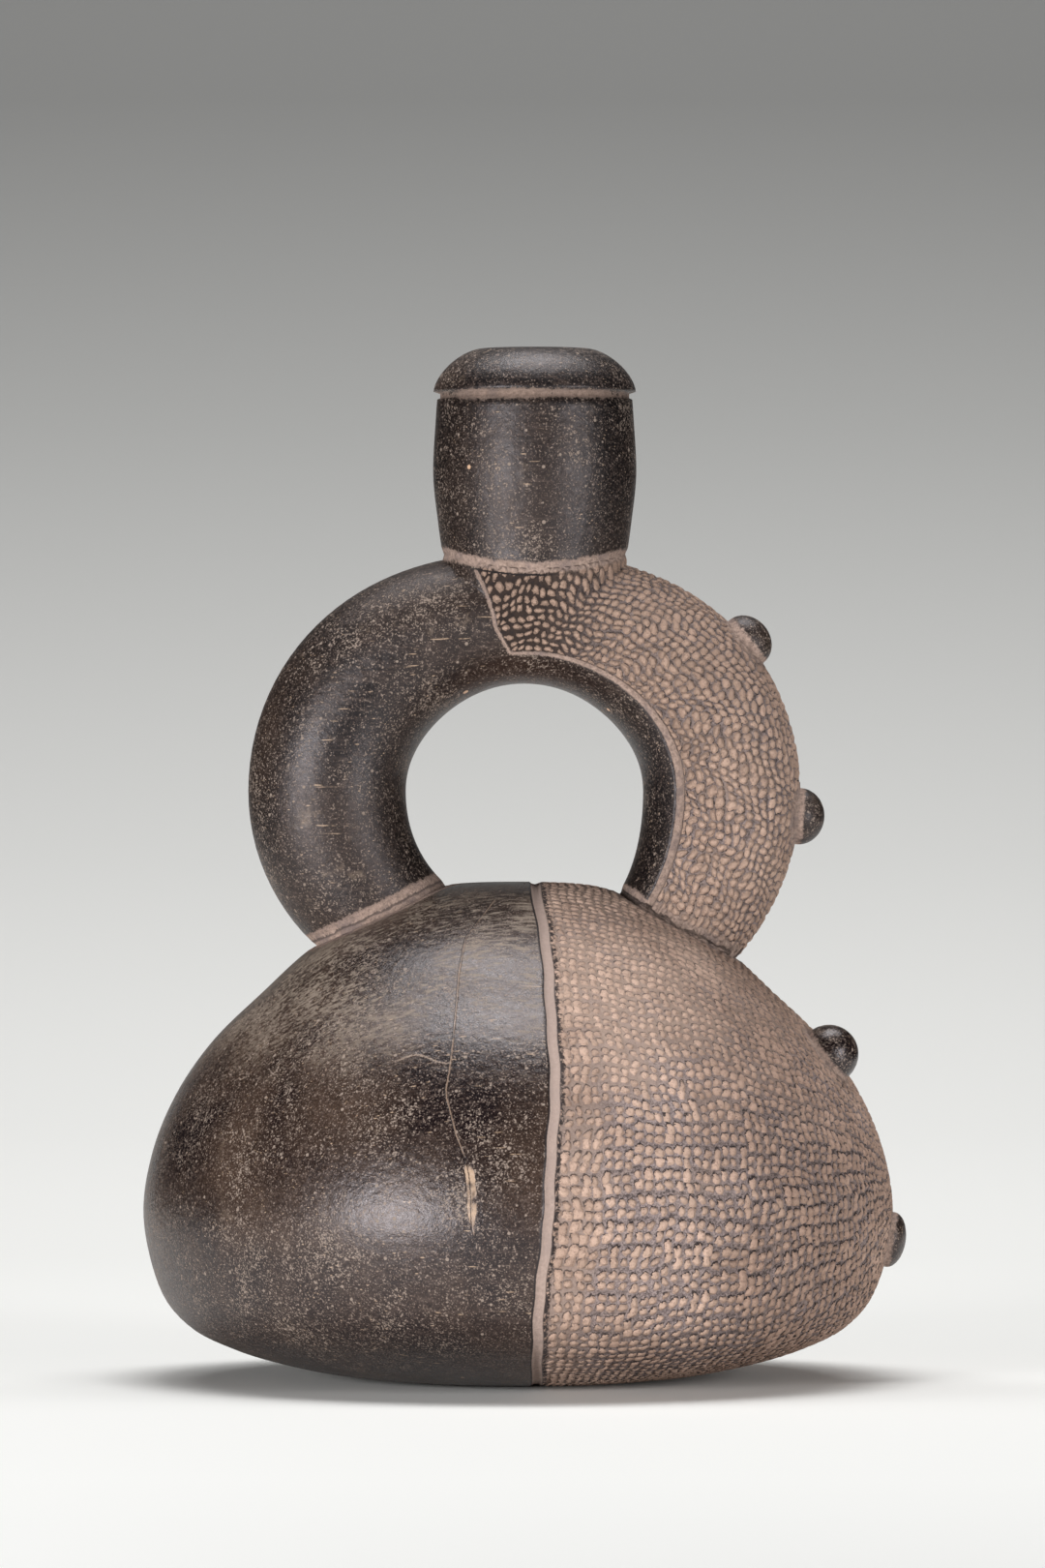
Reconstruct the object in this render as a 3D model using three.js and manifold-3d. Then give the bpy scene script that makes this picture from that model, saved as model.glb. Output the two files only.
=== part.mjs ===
// A stirrup spout vessel of fired blackware: a round hollow body, a hollow stirrup handle
// that rises from its crown on two legs, and one thick-lipped spout on top of the stirrup.
// Millimetres, +Z up. The origin is the middle of the flat base. The stirrup stands in the
// XZ plane and the front faces -Y.

import * as THREE from 'three';
import { mergeVertices } from 'three/addons/utils/BufferGeometryUtils.js';
import Module from 'manifold-3d';

const wasm = await Module();
wasm.setup();

// ---- driving dimensions ----

const height = 230;

const body = {
  radius: 83.9,
  widestAt: 36,
  crown: 111,
  baseRadius: 28,
  wall: 5,
  floor: 7,
};

const arch = {
  x: 1.4,
  z: 131.1,
  halfWidth: 44.1,
  rise: 38.8,
  squareness: 2.05,
  footAngle: -56,
  radius: 17.6,
  topThinning: 2.9,
  topDepthThinning: 0.6,
  footThinning: 6,
  leftFootDraw: 0.12,
  rightFootDraw: -0.06,
  wall: 4.4,
};

const spout = {
  x: 3.7,
  rootAt: 157,
  neckFoot: 184,
  footRadius: 20.6,
  bulge: 22.7,
  bulgeAt: 202,
  neckTop: 218.6,
  neckTopRadius: 21.8,
  lipGroove: 1.3,
  lipRadius: 22.6,
  lipTopRadius: 11.9,
  lipHeight: 9.6,
  lipRoundness: 1.6,
  mouthRadius: 10.4,
  wall: 5.2,
};

// The applied bosses: where they sit, and their radius and height.
const stirrupBosses = [
  { angle: 32.2, radius: 6.1, rise: 5.2 },
  { angle: -5.3, radius: 6.3, rise: 5.6 },
];
const bodyBosses = [
  { z: 72.8, turn: 12, radius: 7.2, rise: 7.2 },
  { z: 31.2, turn: 2, radius: 6.2, rise: 3.6 },
];

// The incised line between the burnished half and the stamped half.
const groove = {
  width: 2.9,
  depth: 0.7,
  sides: 6,
  bodyNear: 4.2,
  bodyBow: 3.9,
  stirrupAround: 123,
  cornerTurn: 11.5,
};

const steps = {
  bodyRound: 52,
  bodyUp: 22,
  chamberRound: 28,
  chamberUp: 11,
  tubeRound: 20,
  tubeAlong: 36,
  boreRound: 12,
  boreAlong: 22,
  spoutRound: 36,
  spoutBoreRound: 20,
  neck: 5,
  lip: 6,
  bossRound: 14,
  bossUp: 4,
};

const degrees = (angle) => THREE.MathUtils.degToRad(angle);

// ---- solids from three.js geometries ----

function toSolid(geometry) {
  const bare = geometry.clone();
  bare.deleteAttribute('normal');
  bare.deleteAttribute('uv');
  const merged = mergeVertices(bare, 1e-4);
  const corners = merged.index.array;
  const kept = [];
  for (let i = 0; i < corners.length; i += 3) {
    const [a, b, c] = corners.slice(i, i + 3);
    if (a !== b && b !== c && c !== a) kept.push(a, b, c);
  }
  return new wasm.Manifold(new wasm.Mesh({
    numProp: 3,
    vertProperties: merged.attributes.position.array,
    triVerts: new Uint32Array(kept),
  }));
}

function toGeometry(solid) {
  const mesh = solid.getMesh();
  const geometry = new THREE.BufferGeometry();
  geometry.setAttribute('position', new THREE.BufferAttribute(mesh.vertProperties, 3));
  geometry.setIndex(new THREE.BufferAttribute(mesh.triVerts, 1));
  geometry.computeVertexNormals();
  return geometry;
}

// An outline of [radius, height] points turned about the vertical through x.
function turned(outline, round, x = 0) {
  const geometry = new THREE.LatheGeometry(outline, round);
  geometry.rotateX(Math.PI / 2);
  geometry.translate(x, 0, 0);
  return toSolid(geometry);
}

const at = (radius, z) => new THREE.Vector2(radius, z);

// Moves an outline in by the wall, along its own normals.
function inset(curve, wall, count) {
  const points = [];
  for (let i = 0; i <= count; i++) {
    const along = curve.getTangent(i / count);
    const point = curve.getPoint(i / count);
    points.push(at(Math.max(point.x - wall * along.y, 0), point.y + wall * along.x));
  }
  return points;
}

// ---- body ----

const belly = body.radius;
const bodyCurve = new THREE.SplineCurve([
  at(body.baseRadius, 0),
  at(0.5 * belly, 1.5),
  at(0.65 * belly, 4.1),
  at(0.77 * belly, 7.3),
  at(0.88 * belly, 12.1),
  at(0.957 * belly, 20.5),
  at(belly, body.widestAt),
  at(0.977 * belly, 50.5),
  at(0.912 * belly, 63.8),
  at(0.814 * belly, 75.6),
  at(0.684 * belly, 86.2),
  at(0.55 * belly, 96.3),
  at(0.39 * belly, 104.2),
  at(0.21 * belly, body.crown - 1),
  at(0, body.crown),
]);

// The body's radius and outward slope at a height.
function bodyAt(z) {
  let low = 0;
  let high = 1;
  for (let i = 0; i < 30; i++) {
    const middle = (low + high) / 2;
    if (bodyCurve.getPoint(middle).y < z) low = middle;
    else high = middle;
  }
  const along = bodyCurve.getTangent(low);
  return { radius: bodyCurve.getPoint(low).x, out: along.y, up: -along.x };
}

function bodyShell() {
  return turned([at(0, 0), ...bodyCurve.getPoints(steps.bodyUp)], steps.bodyRound);
}

function chamber() {
  const wall = inset(bodyCurve, body.wall, steps.chamberUp).filter((point) => point.y > body.floor);
  const roof = body.crown - body.wall;
  const sides = wall.filter((point) => point.x > body.wall && point.y < roof);
  const floorRadius = body.baseRadius + body.floor;
  return turned([at(0, body.floor), at(floorRadius, body.floor), ...sides, at(0, roof)], steps.chamberRound);
}

// ---- stirrup ----

// The middle line: a slightly squared half ellipse above, and a circle closing in below.
function archMiddle(angle) {
  const across = Math.cos(degrees(angle));
  const up = Math.sin(degrees(angle));
  const power = up > 0 ? arch.squareness : 2;
  const rise = up > 0 ? arch.rise : arch.halfWidth;
  const sum = (Math.abs(across) / arch.halfWidth) ** power + (Math.abs(up) / rise) ** power;
  const draw = across < 0 ? arch.leftFootDraw : arch.rightFootDraw;
  const drawn = up < 0 ? 1 - draw * up ** 2 : 1;
  const reach = drawn * sum ** (-1 / power);
  return new THREE.Vector3(arch.x + reach * across, 0, arch.z + reach * up);
}

function archOutward(angle) {
  const along = archMiddle(angle + 0.5).sub(archMiddle(angle - 0.5)).normalize();
  return new THREE.Vector3(along.z, 0, -along.x);
}

// A point on the tube: angle runs along the arch, around runs from the outer side to the front.
function tubePoint(angle, around, lift = 0) {
  const up = Math.sin(degrees(angle));
  const foot = up < 0 ? arch.footThinning * up ** 2 : 0;
  const top = up > 0 ? up ** 4 : 0;
  const inPlane = arch.radius - foot - arch.topThinning * top + lift;
  const deep = arch.radius - foot - arch.topDepthThinning * top + lift;
  const point = archMiddle(angle).addScaledVector(archOutward(angle), inPlane * Math.cos(degrees(around)));
  point.y = -deep * Math.sin(degrees(around));
  return point;
}

// A unit cylinder bent along the arch, from one foot inside the body to the other.
function bentTube(lift, round, along) {
  const geometry = new THREE.CylinderGeometry(1, 1, 1, round, along);
  const places = geometry.attributes.position;
  const sweep = 180 - 2 * arch.footAngle;
  for (let i = 0; i < places.count; i++) {
    const angle = arch.footAngle + sweep * (0.5 - places.getY(i));
    const around = THREE.MathUtils.radToDeg(Math.atan2(-places.getZ(i), places.getX(i)));
    const middle = archMiddle(angle);
    const rim = tubePoint(angle, around, lift);
    const out = Math.hypot(places.getX(i), places.getZ(i));
    const point = middle.lerp(rim, out);
    places.setXYZ(i, point.x, point.y, point.z);
  }
  return toSolid(geometry);
}

// ---- spout ----

const neckCurve = new THREE.SplineCurve([
  at(spout.footRadius, spout.neckFoot),
  at(0.55 * spout.footRadius + 0.45 * spout.bulge, spout.neckFoot + 6.8),
  at(spout.bulge, spout.bulgeAt),
  at(0.35 * spout.bulge + 0.65 * spout.neckTopRadius, spout.neckTop - 4.4),
  at(spout.neckTopRadius, spout.neckTop),
]);

// The rounded root that the neck stands on, inside the top of the stirrup.
function rootRadius(z) {
  const down = (spout.neckFoot - z) / (spout.neckFoot - spout.rootAt);
  return spout.footRadius * Math.sqrt(Math.max(1 - down ** 2, 0));
}

// A rounded bevel that rises from the widest edge of the lip to its flat top.
function lipOutline() {
  const points = [];
  const across = spout.lipRadius - spout.lipTopRadius;
  for (let i = 0; i <= steps.lip; i++) {
    const turn = (i / steps.lip) * Math.PI / 2;
    const power = 2 / spout.lipRoundness;
    const radius = spout.lipTopRadius + across * Math.cos(turn) ** power;
    points.push(at(radius, height - spout.lipHeight + spout.lipHeight * Math.sin(turn) ** power));
  }
  return points;
}

function spoutShell() {
  const root = [0.97, 0.85, 0.6, 0.3].map((down) => {
    const z = spout.neckFoot - down * (spout.neckFoot - spout.rootAt);
    return at(rootRadius(z), z);
  });
  const notch = [
    at(spout.neckTopRadius - groove.depth, spout.neckTop + 0.2),
    at(spout.neckTopRadius - groove.depth, spout.neckTop + spout.lipGroove),
  ];
  const outline = [at(0, spout.rootAt), ...root, ...neckCurve.getPoints(steps.neck + 3), ...notch];
  return turned([...outline, ...lipOutline(), at(0, height)], steps.spoutRound, spout.x);
}

function spoutBore() {
  const mouth = spout.mouthRadius;
  const outline = [
    at(0, spout.neckFoot - 17),
    at(mouth, spout.neckFoot - 15),
    at(spout.footRadius - spout.wall - 1, spout.neckFoot - 5),
    at(spout.bulge - spout.wall - 0.8, spout.bulgeAt),
    at(spout.neckTopRadius - spout.wall - 0.8, spout.neckTop - 8),
    at(mouth + 1.6, spout.neckTop + 1),
    at(mouth, spout.neckTop + 5),
    at(mouth, height - 1),
    at(mouth + 0.8, height + 0.5),
    at(0, height + 0.5),
  ];
  return turned(outline, steps.spoutBoreRound, spout.x);
}

// ---- bosses ----

// A low dome whose foot is sunk in the wall, standing on a point along a direction.
function dome(point, direction, radius, rise) {
  const outline = [at(0, -2), at(radius, -2)];
  for (let i = 0; i <= steps.bossUp; i++) {
    const turn = (i / steps.bossUp) * Math.PI / 2;
    outline.push(at(radius * Math.cos(turn), rise * Math.sin(turn)));
  }
  outline[outline.length - 1].x = 0;
  const geometry = new THREE.LatheGeometry(outline, steps.bossRound);
  const stand = new THREE.Quaternion().setFromUnitVectors(new THREE.Vector3(0, 1, 0), direction);
  geometry.applyQuaternion(stand);
  geometry.translate(point.x, point.y, point.z);
  return toSolid(geometry);
}

function stirrupBoss({ angle, radius, rise }) {
  return dome(tubePoint(angle, 0), archOutward(angle), radius, rise);
}

function bodyBoss({ z, turn, radius, rise }) {
  const section = bodyAt(z);
  const across = Math.cos(degrees(turn));
  const front = -Math.sin(degrees(turn));
  const point = new THREE.Vector3(section.radius * across, section.radius * front, z);
  const direction = new THREE.Vector3(section.out * across, section.out * front, section.up);
  return dome(point, direction, radius, rise);
}

// ---- border groove ----

// A round bead swept along a path just outside the surface cuts the groove.
const beadRadius = (groove.width ** 2 / 4 + groove.depth ** 2) / (2 * groove.depth);
const beadLift = beadRadius - groove.depth;

function bead(path, count) {
  const corners = [];
  for (let i = 0; i < groove.sides; i++) {
    const turn = (i / groove.sides) * 2 * Math.PI;
    corners.push(at(beadRadius * Math.cos(turn), beadRadius * Math.sin(turn)));
  }
  const section = new THREE.Shape(corners);
  const curve = new THREE.CatmullRomCurve3(path);
  return toSolid(new THREE.ExtrudeGeometry(section, { extrudePath: curve, steps: count }));
}

// The line bows to one side of the body's middle, side -1 in front and 1 behind.
function bodyBorderPoint(z, side) {
  const section = bodyAt(z);
  const share = THREE.MathUtils.clamp((z - 8) / (body.crown - 8), 0, 1);
  const x = groove.bodyNear + groove.bodyBow * Math.sin(Math.PI * share ** 1.3);
  const radius = section.radius + section.out * beadLift;
  const y = side * Math.sqrt(Math.max(radius ** 2 - x ** 2, 0));
  return new THREE.Vector3(x, y, z + section.up * beadLift);
}

function bodyBorder() {
  const heights = [1.2, 4, 9, 16, 26, 36, 48, 60, 72, 82, 91, 98, 103.5, 107.5, 109.8];
  const front = heights.map((z) => bodyBorderPoint(z, -1));
  const back = heights.map((z) => bodyBorderPoint(z, 1)).reverse();
  return bead([...front, ...back], 52);
}

// Along the inner face of the right leg, round the corner under the spout and up to its foot.
function stirrupBorder(side) {
  const path = [];
  for (let angle = -38; angle <= 86; angle += 12.4) {
    path.push(tubePoint(angle, groove.stirrupAround, beadLift));
  }
  for (let around = groove.stirrupAround - 9; around >= 24; around -= 15) {
    const turn = Math.min((groove.stirrupAround - around) / 33, 1);
    const point = tubePoint(90 + groove.cornerTurn * Math.sin(turn * Math.PI / 2), around, beadLift);
    const root = rootRadius(point.z) + beadLift;
    point.y = Math.min(point.y, -Math.sqrt(Math.max(root ** 2 - (point.x - spout.x) ** 2, 0)));
    path.push(point);
  }
  for (const point of path) point.y *= -side;
  return bead(path, 26);
}

// ---- the vessel ----

const shell = bodyShell()
  .add(bentTube(0, steps.tubeRound, steps.tubeAlong))
  .add(spoutShell());
const hollow = chamber()
  .add(bentTube(-arch.wall, steps.boreRound, steps.boreAlong))
  .add(spoutBore());
let clay = [...stirrupBosses.map(stirrupBoss), ...bodyBosses.map(bodyBoss)]
  .reduce((solid, next) => solid.add(next), shell);
clay = [bodyBorder(), stirrupBorder(-1), stirrupBorder(1)]
  .reduce((solid, next) => solid.subtract(next), clay)
  .subtract(hollow);

const blackware = new THREE.MeshStandardMaterial({ color: 0x4a403c, roughness: 0.4, metalness: 0 });
const vessel = new THREE.Mesh(toGeometry(clay), blackware);
vessel.name = 'vessel';

const group = new THREE.Group();
group.add(vessel);

export default group;
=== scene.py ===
import math

import bmesh
import bpy
import numpy as np
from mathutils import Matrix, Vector


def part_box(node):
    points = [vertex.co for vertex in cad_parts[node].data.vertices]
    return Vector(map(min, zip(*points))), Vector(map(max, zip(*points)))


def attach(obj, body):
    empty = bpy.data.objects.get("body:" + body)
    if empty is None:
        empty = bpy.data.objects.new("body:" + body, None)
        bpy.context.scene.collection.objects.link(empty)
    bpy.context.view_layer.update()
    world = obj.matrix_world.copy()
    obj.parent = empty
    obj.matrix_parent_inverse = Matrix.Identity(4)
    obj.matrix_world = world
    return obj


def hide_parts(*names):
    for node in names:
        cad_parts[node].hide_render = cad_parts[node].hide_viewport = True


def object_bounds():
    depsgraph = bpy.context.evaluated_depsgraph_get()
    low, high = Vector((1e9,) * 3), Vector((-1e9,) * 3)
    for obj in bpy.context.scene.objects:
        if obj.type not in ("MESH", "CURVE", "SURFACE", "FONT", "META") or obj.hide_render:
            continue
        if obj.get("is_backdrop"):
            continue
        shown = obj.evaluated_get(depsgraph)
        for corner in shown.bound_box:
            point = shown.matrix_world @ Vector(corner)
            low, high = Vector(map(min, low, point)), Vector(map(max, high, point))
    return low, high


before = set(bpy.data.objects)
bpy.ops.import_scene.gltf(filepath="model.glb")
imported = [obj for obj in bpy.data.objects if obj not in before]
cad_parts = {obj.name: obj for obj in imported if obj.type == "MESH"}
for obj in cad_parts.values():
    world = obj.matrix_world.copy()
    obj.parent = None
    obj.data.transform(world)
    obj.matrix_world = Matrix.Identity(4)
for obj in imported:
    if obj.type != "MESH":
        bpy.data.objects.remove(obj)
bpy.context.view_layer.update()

# ---------------------------------------------------------------------------------------------
# The body: a thin-walled round pot of fired clay, closed over at the crown and slightly flat
# below. It is turned from one outline, in millimetres, and brought to metres when all is joined.

MM = 0.001
_, vessel_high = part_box("vessel")
HEIGHT = vessel_high[2] / MM
BELLY = vessel_high[1] / MM - 0.1
CROWN = 111.0
BASE_RADIUS = 28.0
BODY_WALL = 5.0
BODY_FLOOR = 7.0
BODY_MIDDLE = 45.0

BODY_OUTLINE = [
    (BASE_RADIUS, 0), (0.5 * BELLY, 1.5), (0.65 * BELLY, 4.1), (0.77 * BELLY, 7.3), (0.88 * BELLY, 12.1),
    (0.957 * BELLY, 20.5), (BELLY, 36), (0.977 * BELLY, 50.5), (0.912 * BELLY, 63.8), (0.814 * BELLY, 75.6),
    (0.684 * BELLY, 86.2), (0.55 * BELLY, 96.3), (0.39 * BELLY, 104.2), (0.21 * BELLY, CROWN - 1), (0, CROWN),
]


def smooth_line(points, step):
    """A Catmull-Rom line through the points, with a point about every step along it."""
    points = np.array(points, dtype=float)
    padded = np.vstack([points[:1], points, points[-1:]])
    share = np.linspace(0, 1, 24, endpoint=False)[:, None]
    pieces = []
    for before, start, end, after in zip(padded, padded[1:], padded[2:], padded[3:]):
        leave = (end - before) / 2
        arrive = (after - start) / 2
        pieces.append(
            (2 * start - 2 * end + leave + arrive) * share**3
            + (3 * end - 3 * start - 2 * leave - arrive) * share**2
            + leave * share + start
        )
    fine = np.vstack([*pieces, points[-1:]])
    run = np.concatenate([[0], np.cumsum(np.hypot(*np.diff(fine, axis=0).T))])
    even = np.linspace(0, run[-1], max(2, round(run[-1] / step)) + 1)
    return np.column_stack([np.interp(even, run, fine[:, axis]) for axis in (0, 1)])


def turned(outline, round_steps, x=0.0):
    """A closed solid: an outline of (radius, height) points spun about the upright axis through x."""
    bm = bmesh.new()
    rail = [bm.verts.new((x + max(radius, 0), 0, z)) for radius, z in outline]
    for start, end in zip(rail, rail[1:]):
        bm.edges.new((start, end))
    bmesh.ops.spin(
        bm, geom=bm.verts[:] + bm.edges[:], cent=(x, 0, 0), axis=(0, 0, 1),
        angle=math.tau, steps=round_steps, use_merge=True,
    )
    bmesh.ops.remove_doubles(bm, verts=bm.verts[:], dist=1e-4)
    return solid_from(bm)


def solid_from(bm):
    """Puts a bmesh's solid into an object of its own, with its faces turned outwards."""
    bmesh.ops.recalc_face_normals(bm, faces=bm.faces[:])
    mesh = bpy.data.meshes.new("clay")
    bm.to_mesh(mesh)
    bm.free()
    solid = bpy.data.objects.new("clay", mesh)
    bpy.context.scene.collection.objects.link(solid)
    return solid


def inset(outline, wall):
    """The outline moved in by the wall along its own normals."""
    along = np.gradient(outline, axis=0)
    along /= np.hypot(*along.T)[:, None]
    return outline + wall * np.column_stack([-along[:, 1], along[:, 0]])


body_line = smooth_line(BODY_OUTLINE, 2.2).clip(0)
body = turned([(0, 0), (BASE_RADIUS / 2, 0), *body_line], 188)

chamber_line = inset(smooth_line(BODY_OUTLINE, 6), BODY_WALL)
chamber_line = [(r, z) for r, z in chamber_line if r > BODY_WALL and BODY_FLOOR < z < CROWN - BODY_WALL]
chamber = turned([(0, BODY_FLOOR), (BASE_RADIUS + 6, BODY_FLOOR), *chamber_line, (0, CROWN - BODY_WALL)], 64)

# ---------------------------------------------------------------------------------------------
# The stirrup: one hollow clay tube bent into a slightly squared hoop, with its two feet luted to
# the crown. Its places are an angle along the hoop and a turn around the tube, both in degrees.

ARCH = Vector((1.4, 0, 131.1))
ARCH_HALF_WIDTH = 44.1
ARCH_RISE = 38.8
ARCH_SQUARENESS = 2.05
ARCH_FOOT = -56
ARCH_SWEEP = 180 - 2 * ARCH_FOOT
LEFT_FOOT_DRAW = 0.12
RIGHT_FOOT_DRAW = -0.06
TUBE = 17.6
TUBE_TOP_THINNING = 2.9
TUBE_TOP_DEPTH_THINNING = 0.6
TUBE_FOOT_THINNING = 6.0
TUBE_WALL = 4.4


def arch_reach(angle):
    """How far the hoop's middle line is from its centre, for angles in degrees."""
    across, up = np.cos(np.radians(angle)), np.sin(np.radians(angle))
    power = np.where(up > 0, ARCH_SQUARENESS, 2)
    rise = np.where(up > 0, ARCH_RISE, ARCH_HALF_WIDTH)
    draw = np.where(across < 0, LEFT_FOOT_DRAW, RIGHT_FOOT_DRAW)
    drawn = np.where(up < 0, 1 - draw * up**2, 1)
    spread = (np.abs(across) / ARCH_HALF_WIDTH) ** power + (np.abs(up) / rise) ** power
    return drawn * spread ** (-1 / power)


def arch_middle(angle):
    """Where the hoop's middle line is, across and up."""
    reach, turn = arch_reach(angle), np.radians(angle)
    return np.stack([ARCH.x + reach * np.cos(turn), ARCH.z + reach * np.sin(turn)], -1)


def arch_outward(angle):
    """The direction square to the middle line, away from the hoop's centre."""
    along = arch_middle(angle + 0.5) - arch_middle(angle - 0.5)
    along /= np.linalg.norm(along, axis=-1, keepdims=True)
    return np.stack([along[..., 1], -along[..., 0]], -1)


def tube_radii(angle):
    """The tube's radius in the plane of the hoop, and across it."""
    up = np.sin(np.radians(angle))
    foot = np.where(up < 0, TUBE_FOOT_THINNING * up**2, 0)
    top = np.where(up > 0, up**4, 0)
    return TUBE - foot - TUBE_TOP_THINNING * top, TUBE - foot - TUBE_TOP_DEPTH_THINNING * top


def bent_tube(lift, round_steps, long_steps):
    """A closed tube bent along the hoop, from one foot inside the body to the other."""
    bm = bmesh.new()
    bmesh.ops.create_cone(bm, cap_ends=True, segments=round_steps, radius1=1, radius2=1, depth=1)
    upright = [edge for edge in bm.edges if abs(edge.verts[0].co.z - edge.verts[1].co.z) > 0.5]
    bmesh.ops.subdivide_edges(bm, edges=upright, cuts=long_steps - 1, use_grid_fill=True)
    for vert in bm.verts:
        angle = ARCH_FOOT + ARCH_SWEEP * (vert.co.z + 0.5)
        in_plane, deep = tube_radii(angle)
        outward = arch_outward(angle) * (in_plane + lift) * vert.co.x
        middle = arch_middle(angle)
        vert.co = (middle[0] + outward[0], (deep + lift) * vert.co.y, middle[1] + outward[1])
    return solid_from(bm)


stirrup = bent_tube(0, 60, 104)
stirrup_bore = bent_tube(-TUBE_WALL, 24, 40)

# ---------------------------------------------------------------------------------------------
# The spout: a short thick neck that swells at its middle, rooted in the top of the stirrup, with
# a rounded bevelled lip over a narrow groove.

SPOUT_X = 3.7
ROOT_LOW = 157.0
NECK_FOOT = 184.0
NECK_FOOT_RADIUS = 20.6
NECK_BULGE = 22.7
NECK_BULGE_AT = 202.0
NECK_TOP = 218.6
NECK_TOP_RADIUS = 21.8
LIP_GROOVE = 1.3
LIP_GROOVE_DEPTH = 0.7
LIP_RADIUS = 22.6
LIP_TOP_RADIUS = 11.9
LIP_HEIGHT = 9.6
LIP_ROUNDNESS = 1.6
MOUTH_RADIUS = 10.4
SPOUT_WALL = 5.2

root_down = np.linspace(1, 0, 12, endpoint=False)
root_line = np.column_stack([
    NECK_FOOT_RADIUS * np.sqrt(1 - root_down**2), NECK_FOOT - root_down * (NECK_FOOT - ROOT_LOW),
])
neck_line = smooth_line([
    (NECK_FOOT_RADIUS, NECK_FOOT),
    (0.55 * NECK_FOOT_RADIUS + 0.45 * NECK_BULGE, NECK_FOOT + 6.8),
    (NECK_BULGE, NECK_BULGE_AT),
    (0.35 * NECK_BULGE + 0.65 * NECK_TOP_RADIUS, NECK_TOP - 4.4),
    (NECK_TOP_RADIUS, NECK_TOP),
], 1.8)
lip_turn = np.linspace(0, math.pi / 2, 14)
lip_line = np.column_stack([
    LIP_TOP_RADIUS + (LIP_RADIUS - LIP_TOP_RADIUS) * np.cos(lip_turn) ** (2 / LIP_ROUNDNESS),
    HEIGHT - LIP_HEIGHT + LIP_HEIGHT * np.sin(lip_turn) ** (2 / LIP_ROUNDNESS),
])
groove_radius = NECK_TOP_RADIUS - LIP_GROOVE_DEPTH
lip_groove = [(groove_radius, NECK_TOP + 0.3), (groove_radius, NECK_TOP + LIP_GROOVE)]
spout_line = np.vstack([root_line, neck_line, lip_groove, lip_line])
spout = turned([*spout_line, (0, HEIGHT)], 80, SPOUT_X)

spout_bore = turned([
    (0, NECK_FOOT - 17), (MOUTH_RADIUS, NECK_FOOT - 15), (NECK_FOOT_RADIUS - SPOUT_WALL - 1, NECK_FOOT - 5),
    (NECK_BULGE - SPOUT_WALL - 0.8, NECK_BULGE_AT), (NECK_TOP_RADIUS - SPOUT_WALL - 0.8, NECK_TOP - 8),
    (MOUTH_RADIUS + 1.6, NECK_TOP + 1), (MOUTH_RADIUS, NECK_TOP + 5), (MOUTH_RADIUS, HEIGHT - 1.4),
    (MOUTH_RADIUS + 0.35, HEIGHT - 0.5), (MOUTH_RADIUS + 1.2, HEIGHT + 0.2), (0, HEIGHT + 0.2),
], 64, SPOUT_X)

# ---------------------------------------------------------------------------------------------
# The bosses: four pellets of clay pressed on and burnished to low domes, two on the outer side of
# the stirrup and two on the shoulder and belly below them.

BOSSES = []


def add_boss(point, direction, radius, rise):
    """A dome with its foot sunk 2 mm in the wall, standing on a point along a direction."""
    turn = np.linspace(0, math.pi / 2, 14)
    outline = [(0, -2), (radius, -2), *zip(radius * np.cos(turn), rise * np.sin(turn))]
    dome = turned(outline, 40)
    direction = Vector(direction).normalized()
    dome.data.transform(Vector((0, 0, 1)).rotation_difference(direction).to_matrix().to_4x4())
    for vert in dome.data.vertices:
        vert.co += Vector(point)
    BOSSES.append((np.array(point), np.array(direction), radius))
    return dome


def stirrup_boss(angle, radius, rise):
    """A boss on the outer side of the stirrup, at an angle along it."""
    outward = arch_outward(angle)
    point = arch_middle(angle) + outward * float(tube_radii(angle)[0])
    return add_boss((point[0], 0, point[1]), (outward[0], 0, outward[1]), radius, rise)


def body_boss(z, turn, radius, rise):
    """A boss on the body at a height, turned forwards from the right side."""
    index = int(np.argmin(np.abs(body_line[:, 1] - z)))
    along = body_line[index + 1] - body_line[index - 1]
    reach = np.interp(z, body_line[:, 1], body_line[:, 0])
    across, front = math.cos(math.radians(turn)), -math.sin(math.radians(turn))
    outward = (along[1] * across, along[1] * front, -along[0])
    return add_boss((reach * across, reach * front, z), outward, radius, rise)


bosses = [
    stirrup_boss(32.2, 6.1, 5.2), stirrup_boss(-5.3, 6.3, 5.6),
    body_boss(72.8, 12, 6.6, 6.8), body_boss(31.2, 2, 6.2, 3.5),
]

# ---------------------------------------------------------------------------------------------
# The vessel: the parts luted into one shell, and one hollow through body, stirrup and spout.


def combine(solid, tool, operation):
    """Joins the tool to the solid or cuts it out, and drops the tool."""
    change = solid.modifiers.new("join", "BOOLEAN")
    change.operation = operation
    change.solver = "EXACT"
    change.object = tool
    with bpy.context.temp_override(object=solid, active_object=solid):
        bpy.ops.object.modifier_apply(modifier=change.name)
    bpy.data.objects.remove(tool)


for part in (stirrup, spout, *bosses):
    combine(body, part, "UNION")
for part in (stirrup_bore, spout_bore):
    combine(chamber, part, "UNION")
combine(body, chamber, "DIFFERENCE")

# ---------------------------------------------------------------------------------------------
# The stamped half: a groove filled with pale pigment runs over the body and along the stirrup,
# and right of it the clay was pressed, while leather-hard, into rows of small raised pellets.

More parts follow.
